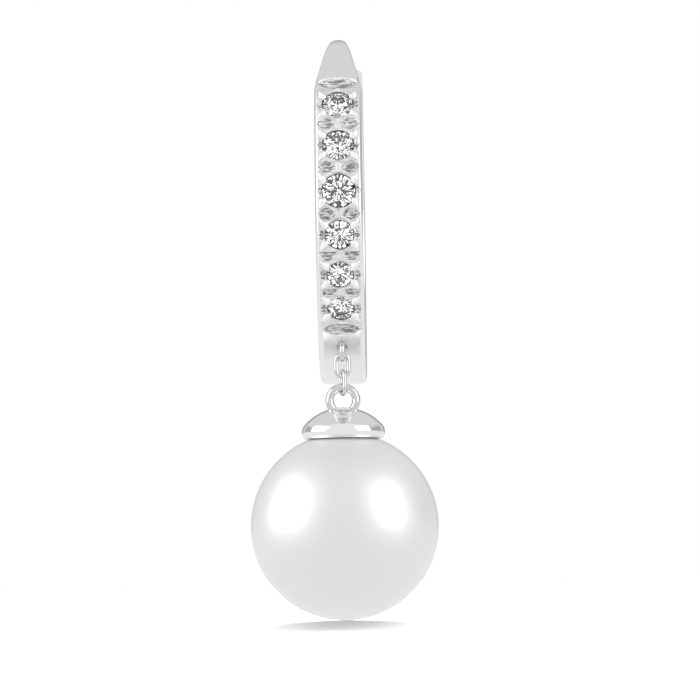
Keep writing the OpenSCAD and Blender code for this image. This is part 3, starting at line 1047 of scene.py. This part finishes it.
def cuts(angles, across):
    """Heights of all the cuts of the row over the band, one after another."""
    hoop, cut = settings().hoop, settings().setting
    rail = hoop.width / 2 - cut.rail_width
    end_bulge = cut.end_half * (1 - np.minimum(np.abs(across) / rail, 1) ** 3)
    row_half = hoop.radius * math.radians(ROW_TOP - ROW_BOTTOM) / 2
    past_row = np.abs(along_hoop(angles, (ROW_TOP + ROW_BOTTOM) / 2)) - row_half - end_bulge
    past_side = np.maximum(np.abs(across) - rail, cut.ridge_half - np.abs(across))
    yield -cut.channel_depth + CUT_SLOPE * np.maximum(np.maximum(past_row, 0), past_side).clip(0)
    for at, diameter in STONES:
        along = along_hoop(angles, at)
        radius = diameter * MM / 2 + cut.seat_gap
        yield seat(along, across, radius, diameter * MM)
        wide = (rail - radius) / 2 + NOTCH_OVERLAP
        for direction in (-1, 1):
            beside = across - direction * ((radius + rail) / 2)
            yield scoop(beside, along, wide, cut.notch_half, cut.notch_depth)
            yield scoop(along - direction * (radius + cut.shoulder_out), across, *SHOULDER)
    for i, stones in enumerate(zip(STONES, STONES[1:])):
        along = along_hoop(angles, between(*stones))
        form = bowl if i >= FLAT_TOPPED_FROM else scoop
        for direction in (-1, 1):
            aside = across - direction * cut.scoop_out
            yield form(along, aside, cut.scoop_half, cut.scoop_long, cut.scoop_depth)
        yield scoop(across, along, *SPLIT)
    for at in (ROW_TOP, ROW_BOTTOM):
        yield scoop(along_hoop(angles, at), across, cut.end_half, rail, cut.scoop_depth, END_FULLNESS)
    yield scoop(along_hoop(angles, LOOP_AT), across, *LOOP_DISH)


def carve(angles, across):
    """Height of the cut surface over the band, for arrays of angle in radians and sideways place."""
    surface = np.full(np.broadcast(angles, across).shape, 1.0 * MM)
    for height in cuts(angles, across):
        surface = smooth_min(surface, height, settings().setting.cut_edge)
    return surface


def band_outline(half_width, thickness, edge, inner_edge, top_count):
    """One section of the band: sideways places, and depths below the outer radius."""
    crown = settings().hoop.crown
    turn = math.radians(EDGE_SWEEP)
    flat = half_width - edge
    top = np.linspace(-1, 1, top_count) * (flat + edge * math.sin(turn))
    past = np.maximum(np.abs(top) - flat, 0)
    depth = edge - np.sqrt(edge**2 - past**2) + crown * (top / half_width) ** 2
    corner = np.linspace(turn, math.pi / 2, SIDE_POINTS + 1)[1:]
    corner_depth = edge * (1 - np.cos(corner)) + crown
    side_depth = np.linspace(edge + crown, thickness - inner_edge, SIDE_POINTS + 1)[1:]
    under = np.linspace(0, math.pi / 2, SIDE_POINTS + 1)[1:]
    under_x = half_width - inner_edge * (1 - np.cos(under))
    under_depth = thickness - inner_edge * (1 - np.sin(under))
    right_x = np.concatenate([flat + edge * np.sin(corner), np.full(SIDE_POINTS, half_width), under_x])
    right_depth = np.concatenate([corner_depth, side_depth, under_depth])
    inner = np.linspace(1, -1, INNER_POINTS + 2)[1:-1] * (half_width - inner_edge)
    x = np.concatenate([top, right_x, inner, -right_x[::-1]])
    down = np.concatenate([depth, right_depth, np.full(INNER_POINTS, thickness), right_depth[::-1]])
    return x, down


def tip_half_width(distance):
    """Half width of the band at a distance along it from the tip angle."""
    hoop = settings().hoop
    table = np.array(TAPER) * MM
    width = float(np.interp(distance, table[:, 0], table[:, 1]))
    past = distance - hoop.nose_at
    if past > 0:
        width = hoop.nose_half * math.sqrt(max(1 - (past / hoop.nose_long) ** 2, NOSE_LEAST))
    return min(width, hoop.width / 2)


def row_sections():
    """The band's sections from the hinge to the tip angle, fine over the cuts and coarser elsewhere."""
    hoop = settings().hoop
    spans = [np.arange(start, end, step) for (start, step), (end, _) in zip(STATIONS, STATIONS[1:])]
    for angle in np.radians(np.concatenate(spans)):
        distance = hoop.radius * math.sin(angle - math.radians(TIP_AT))
        half = hoop.width / 2 if angle < 0 else tip_half_width(distance)
        edge = min(hoop.edge_radius, TIP_EDGE * half)
        x, down = band_outline(half, hoop.front_thickness, edge, hoop.inner_edge_radius, TOP_POINTS)
        cut = carve(angle, x[:TOP_POINTS])
        down[:TOP_POINTS] = -smooth_min(-down[:TOP_POINTS], cut, CARVED_EDGE)
        yield on_hoop(angle, hoop.radius - down, x)


def nose_sections():
    """The sections of the straight nose, from the tip angle on."""
    hoop, centre = settings().hoop, hoop_centre()
    turn = math.radians(TIP_AT)
    out = Vector((0, -math.cos(turn), math.sin(turn)))
    ahead = Vector((0, math.sin(turn), math.cos(turn)))
    reach = hoop.nose_at + hoop.nose_long
    inner = hoop.radius - hoop.front_thickness
    for step in np.linspace(0, 1, NOSE_SECTIONS):
        distance = reach * math.sin(step * math.pi / 2) * NOSE_REACHED
        half = tip_half_width(distance)
        edge = min(hoop.edge_radius, (TIP_EDGE + NOSE_EDGE_ADDED * (distance / reach) ** 2) * half)
        inner_edge = min(hoop.inner_edge_radius, NOSE_INNER_EDGE * half)
        x, down = band_outline(half, hoop.front_thickness, edge, inner_edge, TOP_POINTS)
        past = max(distance - (reach - hoop.nose_round), 0)
        drop = hoop.nose_round - math.sqrt(hoop.nose_round**2 - past**2)
        low = math.sqrt(inner**2 - distance**2)
        high = math.sqrt(hoop.radius**2 - distance**2) - drop
        radial = high - down / hoop.front_thickness * (high - low)
        yield np.array(
            [centre + out * r + ahead * distance + Vector((side, 0, 0)) for side, r in zip(x, radial)]
        )


def stone_holes():
    """Cutters for the small holes behind the stones."""
    cutters = []
    for i, (at, diameter) in enumerate(STONES):
        ends = (Vector(on_hoop(math.radians(at), settings().hoop.radius - depth)) for depth in HOLE_DEPTHS)
        cutters.append(rod(f"hole_{i}", HOLE_SHARE * diameter * MM, *ends, SHARP, turns=48))
    return cutters


class EARRING_OT_front_hoop(Operator):
    """Makes the front half: the carved band, its hinge barrels, the ear post and the fixed loop."""

    bl_idname = "earring.front_hoop"
    bl_label = "Front hoop"

    def execute(self, context):
        hoop, drop = settings().hoop, settings().drop
        points, faces = skin(np.array([*row_sections(), *nose_sections()]))
        band = add_object("front_hoop", points, faces, carved_gold())
        fork = hoop.tongue_width / 2 + hoop.side_gap
        side = (hoop.width / 2 - fork) / 2
        room = hoop.barrel_radius + hoop.barrel_room
        combine(band, "DIFFERENCE", hinge_rod("fork", room, fork), *stone_holes())
        rows = (("barrel_-1", -fork - side), ("barrel_1", fork + side))
        barrels = [hinge_rod(name, hoop.barrel_radius, side, at, BARREL_BEVEL) for name, at in rows]
        combine(band, "UNION", *barrels)
        combine(band, "DIFFERENCE", hinge_rod("bore", hoop.pin_radius + FRONT_BORE_GAP, hoop.width))
        ends = (hoop_centre() + Vector((0, y, hoop.post_height)) for y in (hoop.post_start, hoop.post_end))
        post = rod("post", hoop.post_radius, *ends, POST_BEVEL, gold("white"))
        loop_at = Vector(on_hoop(math.radians(LOOP_AT), hoop.radius + drop.loop_out))
        loop = torus("loop", loop_at, (1, 0, 0), drop.loop_radius, drop.loop_wire)
        ride(join("front_hoop_with_post", [band, post, loop]), "hoop_front", "white_gold", "front_half")
        return {"FINISHED"}


def claw():
    """A domed petal from -1 to 1 along Y, blunt where it holds the stone and drawn out behind."""
    piece = lathe("claw", ball_arc(0, 1, 0, math.pi, PRONG_POINTS), (0, 0), PRONG_TURNS)
    for vertex in piece.data.vertices:
        vertex.co.x *= PRONG_MIDDLE - PRONG_TAPER * vertex.co.y
    return piece


def prong_places():
    """Point, turn and half sizes of each prong, between its hold on the stone and its heel at the rail."""
    hoop, cut = settings().hoop, settings().setting
    hold = math.radians(PRONG_HOLD)
    for at, diameter in STONES:
        radius = diameter * MM / 2
        tip = np.array((math.cos(hold), math.sin(hold))) * (radius - cut.prong_grip)
        heel = np.array((hoop.width / 2 - cut.rail_width - HEEL_ROOM, radius + HEEL_PAST))
        reach = np.linalg.norm(heel - tip) / 2
        for side, lift in ((-1, -1), (-1, 1), (1, -1), (1, 1)):
            across, along = (tip + heel) / 2 * (side, lift)
            spin = math.atan2(*((heel - tip) * (-side, lift)))
            angle = math.radians(at) + along / hoop.radius
            turn = Matrix.Rotation(math.pi / 2 - angle, 3, "X") @ Matrix.Rotation(spin, 3, "Z")
            point = Vector(on_hoop(angle, hoop.radius + cut.prong_rise - cut.prong_deep, across))
            yield point, turn.to_euler("XYZ"), (cut.prong_half, reach, cut.prong_deep)


class EARRING_OT_prongs(Operator):
    """Sets a small polished prong at each corner of each stone."""

    bl_idname = "earring.prongs"
    bl_label = "Prongs"

    def execute(self, context):
        piece = placed("prongs", claw(), list(prong_places()), gold("burnished"))
        piece.data.shade_smooth()
        ride(piece, "hoop_front", "white_gold")
        return {"FINISHED"}


class EARRING_OT_back_hoop(Operator):
    """Makes the back half: a plain polished arc with the middle barrel and the notch for the post."""

    bl_idname = "earring.back_hoop"
    bl_label = "Back hoop"

    def execute(self, context):
        hoop, centre = settings().hoop, hoop_centre()
        half = hoop.width / 2
        edges = (hoop.edge_radius, hoop.inner_edge_radius)
        x, down = band_outline(half, hoop.back_thickness, *edges, BACK_TOP_POINTS)
        outline = bpy.data.meshes.new("back_hoop")
        lines = [(i, (i + 1) % len(x)) for i in range(len(x))]
        outline.from_pydata([(-d, s, 0) for s, d in zip(x, down)], lines, [])
        values = {
            "Radius": hoop.radius,
            "Start": -math.radians(HINGE_AT - 180),
            "Sweep": math.radians(HINGE_AT - BACK_END),
            "Stations": BACK_SECTIONS,
            "Centre": centre,
            "Material": gold("white"),
        }
        piece = evaluate_tree("back_hoop", outline, sweep_tree(), values)
        tongue = hoop.tongue_width / 2
        beyond = half + PAST_SIDES
        reach, middle = (beyond - tongue) / 2, (beyond + tongue) / 2
        room = hoop.barrel_radius + hoop.barrel_room
        combine(piece, "DIFFERENCE", *(hinge_rod(f"room_{k}", room, reach, k * middle) for k in (-1, 1)))
        combine(piece, "UNION", hinge_rod("barrel", hoop.barrel_radius, tongue, 0, TONGUE_BEVEL))
        low = hoop.post_height - hoop.post_radius - NOTCH_GAP
        notch_end = hoop.post_end + NOTCH_PAST_POST
        notch = box_cutter(
            "notch",
            (-hoop.notch_width / 2, centre.y, centre.z + low),
            (hoop.notch_width / 2, centre.y + notch_end, centre.z + hoop.radius),
        )
        combine(piece, "DIFFERENCE", notch, hinge_rod("bore", hoop.pin_radius + BACK_BORE_GAP, hoop.width))
        smooth(piece.data)
        ride(piece, "hoop_back", "white_gold", "back_half")
        return {"FINISHED"}


class EARRING_OT_hinge_pin(Operator):
    """Makes the hinge pin with softly rounded ends."""

    bl_idname = "earring.hinge_pin"
    bl_label = "Hinge pin"

    def execute(self, context):
        hoop = settings().hoop
        reach = hoop.width / 2 - PIN_END_GAP
        piece = hinge_rod("hinge_pin_polished", hoop.pin_radius, reach, 0, PIN_BEVEL, gold("white"))
        ride(piece, "hoop_front", "white_gold", "hinge_pin")
        return {"FINISHED"}


def ring_points(radius, height, turn, count):
    """Points of a level ring."""
    angles = [turn + 2 * math.pi * i / count for i in range(count)]
    return [(radius * math.cos(a), radius * math.sin(a), height) for a in angles]


def brilliant():
    """A round brilliant of diameter 1: 57 facets and a faceted girdle, girdle top at height 0."""
    mains = 8
    step = math.pi / mains
    girdle, table, star, crown = 0.5, 0.28, 0.375, 0.15
    deep, band, lower = 0.43, 0.03, 0.1
    star_height = crown * (girdle - star * math.cos(step)) / (girdle - table)
    lower_height = -band - deep * (1 - lower * math.cos(step) / girdle)
    points = ring_points(table, crown, 0, mains)
    points += ring_points(star, star_height, step, mains)
    points += ring_points(girdle, 0, 0, 2 * mains)
    points += ring_points(girdle, -band, 0, 2 * mains)
    points += ring_points(lower, lower_height, step, mains)
    points.append((0, 0, -band - deep))
    stars = mains
    upper = stars + mains
    under = upper + 2 * mains
    low = under + 2 * mains
    culet = low + mains
    faces = [list(range(mains))]
    for i in range(mains):
        after, before = (i + 1) % mains, (i - 1) % mains
        here, down = upper + 2 * i, under + 2 * i
        beyond, down_beyond = (start + (2 * i + 2) % (2 * mains) for start in (upper, under))
        faces += [
            [i, stars + i, after],
            [i, stars + before, here, stars + i],
            [here, here + 1, stars + i],
            [here + 1, beyond, stars + i],
            [down, low + i, down + 1],
            [down + 1, low + i, down_beyond],
            [culet, low + i, down, low + before],
        ]
    for i in range(2 * mains):
        j = (i + 1) % (2 * mains)
        faces.append([upper + i, under + i, under + j, upper + j])
    return add_object("brilliant", points, faces)


class EARRING_OT_stones(Operator):
    """Sets the six round brilliants in their seats."""

    bl_idname = "earring.stones"
    bl_label = "Stones"

    def execute(self, context):
        depth = settings().hoop.radius - settings().setting.girdle_depth
        places = []
        for at, diameter in STONES:
            angle = math.radians(at)
            turn = (math.pi / 2 - angle, 0, 0)
            places.append((Vector(on_hoop(angle, depth)), turn, (diameter * MM,) * 3))
        piece = placed("brilliants", brilliant(), places, brilliant_glass())
        ride(piece, "hoop_front", "cut_stone", *[f"stone_{i + 1}" for i in range(len(STONES))])
        return {"FINISHED"}


class EARRING_OT_links(Operator):
    """Makes the two oval links of the drop."""

    bl_idname = "earring.links"
    bl_label = "Links"

    def execute(self, context):
        drop, place = settings().drop, drop_places()
        rows = (
            ("upper", drop.upper_half, drop.link_wire, 0.0, "hoop_front"),
            ("lower", drop.lower_half, drop.lower_wire, math.radians(LOWER_LINK_TURN), "drop_link"),
        )
        for label, half, wire, turn, body in rows:
            top, bottom = place[label + "_top"], place[label + "_bottom"]
            values = {
                "Half width": half,
                "Straight": top - bottom - 2 * half,
                "Wire": wire,
                "Turn": turn,
                "Centre": (0, place["y"], (top + bottom) / 2),
                "Material": gold("wire"),
            }
            empty = bpy.data.meshes.new(label + "_link")
            piece = evaluate_tree(label + "_link_polished", empty, link_tree(), values)
            piece.data.shade_smooth()
            ride(piece, body, "white_gold", "link_" + label)
        return {"FINISHED"}


class EARRING_OT_pearl_cap(Operator):
    """Makes the domed cap with its eye, and the peg inside the pearl."""

    bl_idname = "earring.pearl_cap"
    bl_label = "Pearl cap"

    def execute(self, context):
        drop, place = settings().drop, drop_places()
        hollow = drop.pearl_radius + drop.glue_gap
        rim = place["pearl"] + math.sqrt(hollow**2 - drop.cap_radius**2) + drop.rim_lift
        inner = math.sqrt(hollow**2 - (rim - place["pearl"]) ** 2)
        peg_end = place["pearl_top"] - drop.peg_length
        outline = [(0, peg_end), (drop.peg_radius, peg_end)]
        angles = (math.asin(out / hollow) for out in (drop.peg_radius, inner))
        outline += ball_arc(place["pearl"], hollow, *angles, HOLLOW_POINTS)
        dome = place["apex"] - drop.dome_radius
        bulge = drop.wall_round
        middle = drop.cap_radius - bulge
        shoulder = math.asin(middle / (drop.dome_radius - bulge))
        height = dome + middle / math.tan(shoulder)
        turn = drop.rim_round
        foot = math.asin((height - rim - turn) / (bulge - turn))
        corner = (middle + (bulge - turn) * math.cos(foot), rim + turn)
        low, high = -math.degrees(foot), 90 - math.degrees(shoulder)
        outline += arc(corner, turn, -90, low, RIM_POINTS)
        outline += arc((middle, height), bulge, low, high, WALL_POINTS)[1:]
        outline += ball_arc(dome, drop.dome_radius, shoulder, 0, DOME_POINTS)[1:-1]
        outline.append((0, place["apex"]))
        body = lathe("cap_dome", outline, (0, place["y"]), CAP_TURNS, gold("cap"))
        eye_at = (0, place["y"], place["eye"])
        eye = torus("cap_eye", eye_at, (0, 1, 0), drop.eye_radius, drop.eye_wire, EYE_POINTS)
        ride(join("domed_cap", [body, eye]), "pearl_drop", "white_gold", "pearl_cap")
        return {"FINISHED"}


class EARRING_OT_pearl(Operator):
    """Makes the round pearl, drilled for the peg."""

    bl_idname = "earring.pearl"
    bl_label = "Pearl"

    def execute(self, context):
        drop, place = settings().drop, drop_places()
        radius, middle = drop.pearl_radius, place["pearl"]
        drill_end = place["pearl_top"] - drop.drill_depth
        outline = [(0, drill_end), (drop.drill_radius, drill_end)]
        start = math.asin(drop.drill_radius / radius)
        outline += ball_arc(middle, radius, start, math.pi, PEARL_POINTS)[:-1]
        outline.append((0, middle - radius))
        piece = lathe("round_pearl", outline, (0, place["y"]), PEARL_TURNS, nacre())
        ride(piece, "pearl_drop", "pearl", "pearl")
        return {"FINISHED"}


# The studio


def add_surround(scene):
    """An even white surround. Reflections see it dimmer, and greyer behind the earring. The stones also
    see the dark of the camera and of the gaps between the lights."""
    studio = settings().studio
    world = bpy.data.worlds.new("surround")
    scene.world = world
    world.use_nodes = True
    tree = world.node_tree
    direction = add_node(tree, "ShaderNodeTexCoord").outputs["Generated"]
    parts = add_node(tree, "ShaderNodeSeparateXYZ", {0: direction}).outputs
    path = add_node(tree, "ShaderNodeLightPath").outputs
    depth, height = parts["Y"], calculate(tree, "ABSOLUTE", parts["Z"])
    dim = calculate(tree, "ADD", studio.front_shade, ramp(tree, depth, *BACK_SHADE, studio.back_shade))
    dim = calculate(tree, "ADD", dim, ramp(tree, depth, *FAR_SHADE, studio.far_shade))
    cards = ramp(tree, depth, *CARDS_START, studio.side_shade)
    cards = calculate(tree, "MULTIPLY", cards, ramp(tree, depth, *CARDS_END))
    cards = calculate(tree, "MULTIPLY", cards, ramp(tree, height, *CARDS_TOP))
    dim = calculate(tree, "ADD", dim, cards)
    through = path["Is Transmission Ray"]
    mirrored = calculate(tree, "SUBTRACT", path["Is Glossy Ray"], through)
    dim = calculate(tree, "MULTIPLY", dim, calculate(tree, "MAXIMUM", mirrored, 0.0))
    dark = ramp(tree, depth, *CAMERA_SHADE, studio.camera_shade)
    dark = calculate(tree, "MAXIMUM", dark, gaps_towards(tree, direction))
    dark = calculate(tree, "MULTIPLY", dark, through)
    level = calculate(tree, "SUBTRACT", studio.surround, calculate(tree, "MAXIMUM", dim, dark))
    boost = calculate(tree, "MULTIPLY_ADD", through, studio.stone_light - 1, 1.0)
    level = calculate(tree, "MULTIPLY", level, boost)
    seen = calculate(tree, "MAXIMUM", level, path["Is Camera Ray"])
    feed(tree, tree.nodes["Background"], {"Color": (1, 1, 1, 1), "Strength": seen})


def only_pieces(name, pieces):
    """A collection outside the scene that a lamp's light or shadow is limited to."""
    group = bpy.data.collections.new(name)
    for piece in pieces:
        group.objects.link(piece)
    return group


def direction_to(azimuth, lift):
    """Unit direction: azimuth 0 is straight in front and positive to the right, both in degrees."""
    turn, rise = math.radians(azimuth), math.radians(lift)
    return Vector((math.sin(turn) * math.cos(rise), -math.cos(turn) * math.cos(rise), math.sin(rise)))


def add_softbox(name, target, azimuth, width, radiance, lights):
    """A rectangular lamp that faces the target and shows only in the given pieces."""
    lamp = bpy.data.lights.new(name, "AREA")
    lamp.shape = "RECTANGLE"
    lamp.size, lamp.size_y = width, SOFTBOX_HEIGHT
    lamp.energy = radiance * math.pi * width * SOFTBOX_HEIGHT
    way = direction_to(azimuth, SOFTBOX_LIFT)
    holder = show(name, lamp)
    turn = way.to_track_quat("Z", "Y").to_matrix().to_4x4()
    holder.matrix_world = Matrix.Translation(target + way * SOFTBOX_AWAY) @ turn
    holder.visible_camera = False
    holder.visible_diffuse = False
    holder.light_linking.receiver_collection = only_pieces(name + "_lights", lights)


def add_floor_light(floor, pearl, strength):
    """A soft light from behind that lights the floor alone, so that the pearl's shadow falls forwards."""
    lamp = bpy.data.lights.new("floor_light", "SUN")
    lamp.energy = strength
    lamp.angle = math.radians(FLOOR_LIGHT_SOFTNESS)
    holder = show("floor_light", lamp)
    holder.rotation_euler = (math.radians(FLOOR_LIGHT_LIFT - 90), 0, 0)
    holder.light_linking.receiver_collection = only_pieces("floor_light_lights", [floor])
    holder.light_linking.blocker_collection = only_pieces("floor_light_shadows", [pearl])


def add_camera(scene):
    """The camera in the photograph's place, just above the floor."""
    studio = settings().studio
    data = bpy.data.cameras.new("camera")
    data.sensor_width = SENSOR
    data.lens = data.sensor_width * FOCAL_PIXELS / PHOTO_PIXELS
    data.clip_start, data.clip_end = CLIP
    pitch, yaw, roll = (math.radians(a) for a in (CAMERA_PITCH, CAMERA_YAW, CAMERA_ROLL))
    ahead = Vector((math.sin(yaw) * math.cos(pitch), math.cos(yaw) * math.cos(pitch), math.sin(pitch)))
    right = ahead.cross(Vector((0, 0, 1))).normalized()
    up = right.cross(ahead)
    tilted_right = right * math.cos(roll) + up * math.sin(roll)
    tilted_up = up * math.cos(roll) - right * math.sin(roll)
    turn = Matrix((tilted_right, tilted_up, -ahead)).transposed().to_4x4()
    camera = show("camera", data)
    place = hoop_centre() + Vector((studio.aside, -studio.distance, studio.below))
    camera.matrix_world = Matrix.Translation(place) @ turn
    scene.camera = camera


class EARRING_OT_studio(Operator):
    """Makes the pale floor, the soft lights and the camera."""

    bl_idname = "earring.studio"
    bl_label = "Studio"

    def execute(self, context):
        scene, studio, place = context.scene, settings().studio, drop_places()
        level = place["pearl"] - settings().drop.pearl_radius - studio.floor_gap
        corners = [(x * FLOOR_HALF, y * FLOOR_HALF, level) for x, y in ((-1, -1), (1, -1), (1, 1), (-1, 1))]
        floor = add_object("floor", corners, [(0, 1, 2, 3)], floor_paper())
        floor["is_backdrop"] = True
        add_surround(scene)
        target = Vector((0, place["y"], place["pearl"] / 2))
        pearl = bpy.data.objects["round_pearl"]
        metal = [bpy.data.objects[name] for name in METAL]
        for side, azimuth, width in SOFTBOXES:
            add_softbox(side + "_pearl", target, azimuth, width, studio.pearl_softbox, [pearl])
            add_softbox(side + "_metal", target, azimuth, width, studio.softbox, metal)
        add_floor_light(floor, pearl, studio.floor_light)
        add_camera(scene)
        scene.view_settings.view_transform = "Standard"
        return {"FINISHED"}


class EARRING_PT_panel(Panel):
    """Buttons for the earring's parts."""

    bl_label = "Pearl Huggie Earring"
    bl_idname = "EARRING_PT_panel"
    bl_space_type = "VIEW_3D"
    bl_region_type = "UI"
    bl_category = "Earring"

    def draw(self, context):
        for operator in OPERATORS:
            self.layout.operator(operator.bl_idname)


# Pieces of metal, which the metal's softboxes light
METAL = (
    "front_hoop_with_post",
    "prongs",
    "back_hoop",
    "hinge_pin_polished",
    "upper_link_polished",
    "lower_link_polished",
    "domed_cap",
)
OPERATORS = (
    EARRING_OT_front_hoop,
    EARRING_OT_prongs,
    EARRING_OT_back_hoop,
    EARRING_OT_hinge_pin,
    EARRING_OT_stones,
    EARRING_OT_links,
    EARRING_OT_pearl_cap,
    EARRING_OT_pearl,
    EARRING_OT_studio,
)
GROUPS = (HoopSizes, SettingSizes, DropSizes, Finishes, StudioSettings, EarringSettings)
CLASSES = (*GROUPS, *OPERATORS, EARRING_PT_panel)


def register():
    """Registers the settings, the operators and the panel."""
    for cls in CLASSES:
        bpy.utils.register_class(cls)
    bpy.types.Scene.earring = PointerProperty(type=EarringSettings)


def unregister():
    """Takes the settings, the operators and the panel away again."""
    del bpy.types.Scene.earring
    for cls in reversed(CLASSES):
        bpy.utils.unregister_class(cls)


def main():
    """Builds the earring."""
    register()
    bpy.ops.earring.front_hoop()
    bpy.ops.earring.prongs()
    bpy.ops.earring.back_hoop()
    bpy.ops.earring.hinge_pin()
    bpy.ops.earring.stones()
    bpy.ops.earring.links()
    bpy.ops.earring.pearl_cap()
    bpy.ops.earring.pearl()
    bpy.ops.earring.studio()
    boxes = {"cad": CAD_BOX, "visual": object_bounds()}
    {name: [list(corner) for corner in box] for name, box in boxes.items()}


if __name__ == "__main__":
    main()
